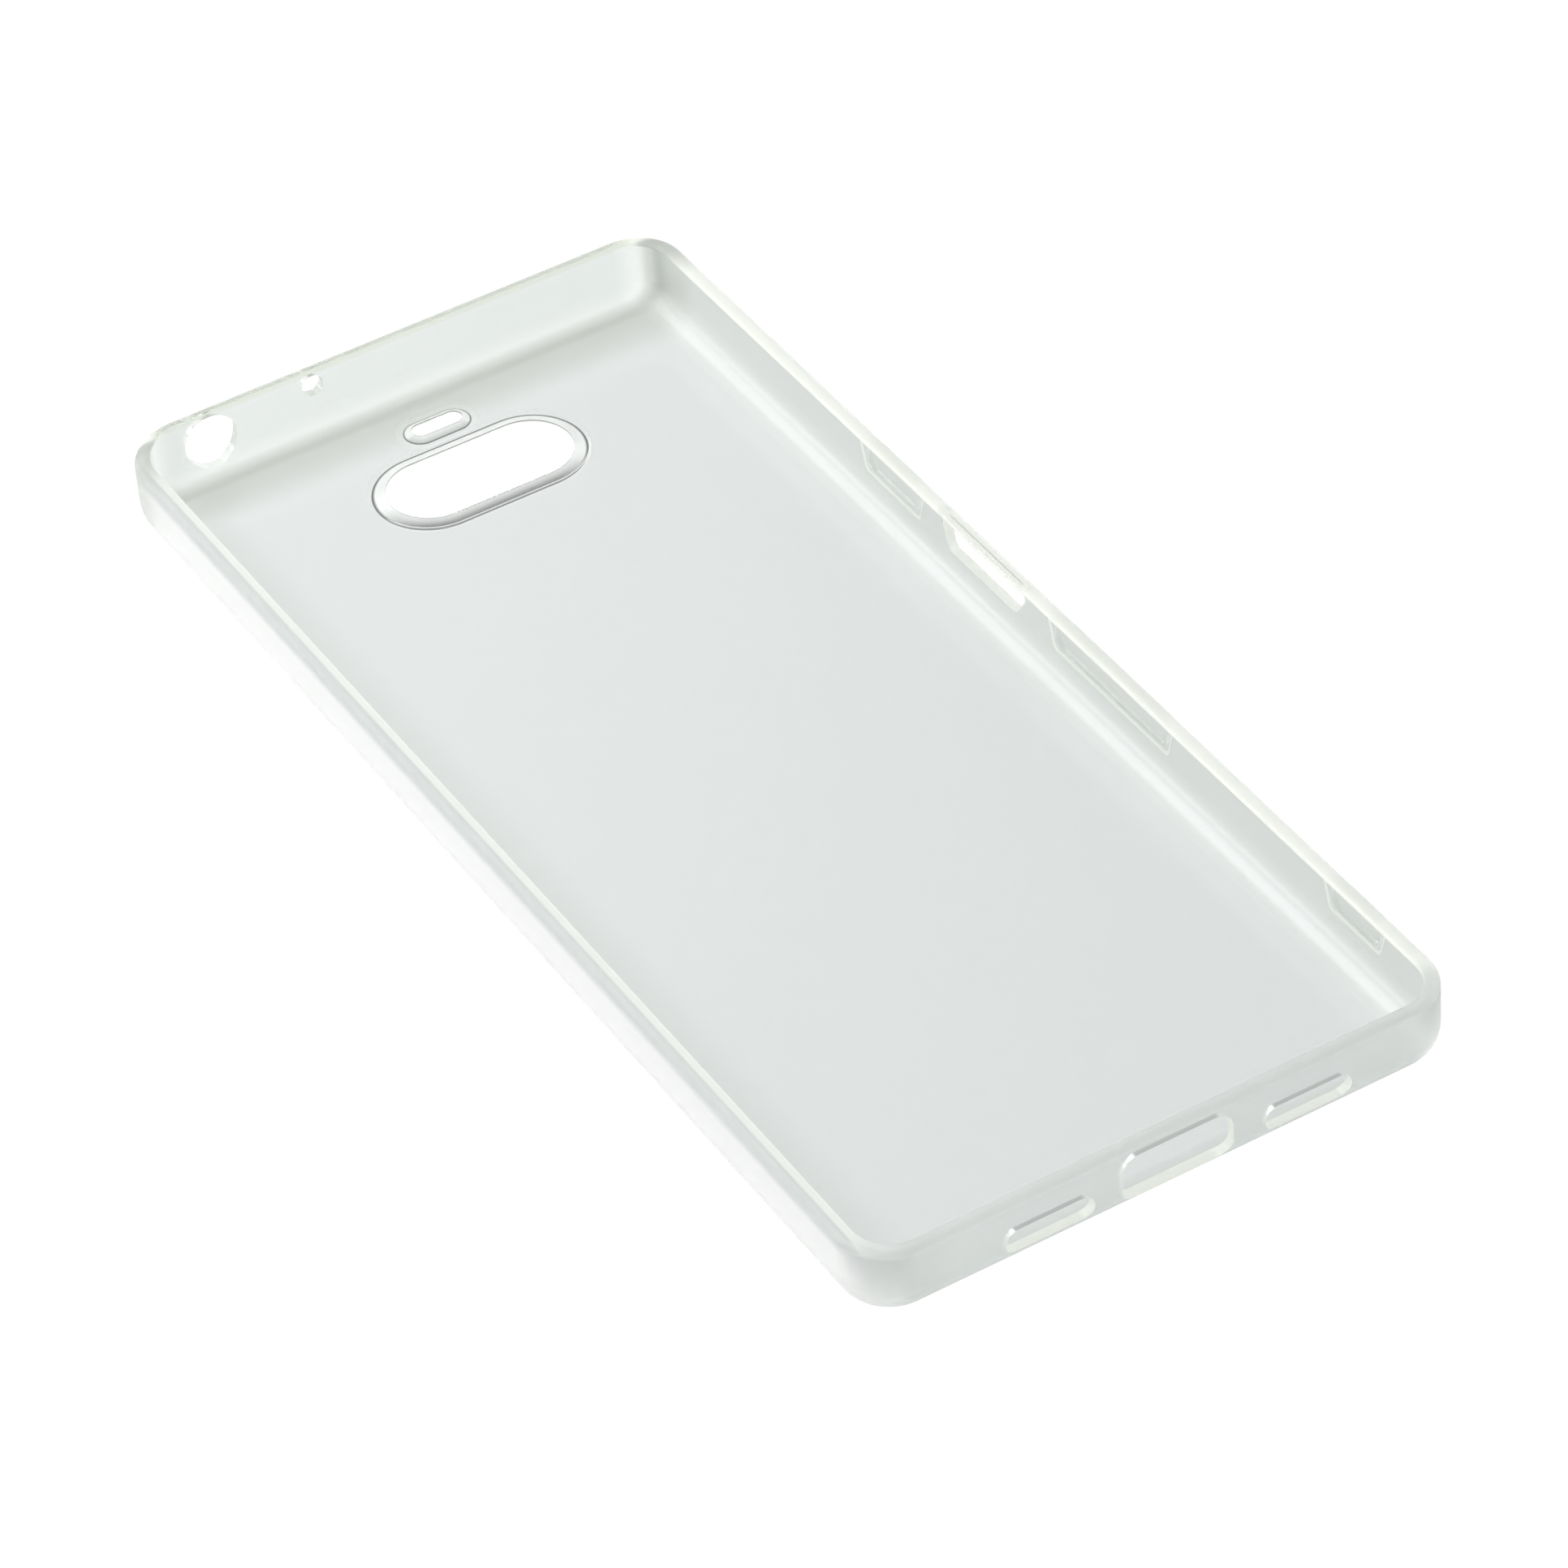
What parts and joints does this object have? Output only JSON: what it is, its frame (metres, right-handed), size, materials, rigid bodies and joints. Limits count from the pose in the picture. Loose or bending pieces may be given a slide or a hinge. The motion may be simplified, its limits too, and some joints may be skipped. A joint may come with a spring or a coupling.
{
  "type": "phone case",
  "caption": "Slim clear gel phone case with a lip round the open side, a flared camera window, port openings, a side sensor opening and button covers that flex inwards.",
  "frame": {"origin": "centre of the outer back face of the shell, on the surface the case lies on", "axes": "+Z towards the open side that takes the phone; +Y along the case towards the camera end; +X towards the wall with the button covers"},
  "size_m": [0.071, 0.1604, 0.0096],
  "materials": {
    "clear_gel": "clear soft plastic, glossy walls, fine dot texture inside the back",
    "clear_gel_cover": "clear soft plastic, glossy"
  },
  "bodies": {
    "shell": {"case_shell": "clear_gel"},
    "power_cover": {"power_button_cover": "clear_gel_cover"},
    "volume_cover": {"volume_button_cover": "clear_gel_cover"},
    "shutter_cover": {"shutter_button_cover": "clear_gel_cover"}
  },
  "joints": [
    {"name": "power_press", "type": "slide", "parent": "shell", "child": "power_cover", "axis": [-1, 0, 0], "range_m": [0, 0.0004]},
    {"name": "volume_rock", "type": "hinge", "parent": "shell", "child": "volume_cover", "pos_m": [0.03465, -0.017, 0.00675], "axis": [0, 0, 1], "range_deg": [-1.5, 1.5]},
    {"name": "shutter_press", "type": "slide", "parent": "shell", "child": "shutter_cover", "axis": [-1, 0, 0], "range_m": [0, 0.0004]}
  ]
}
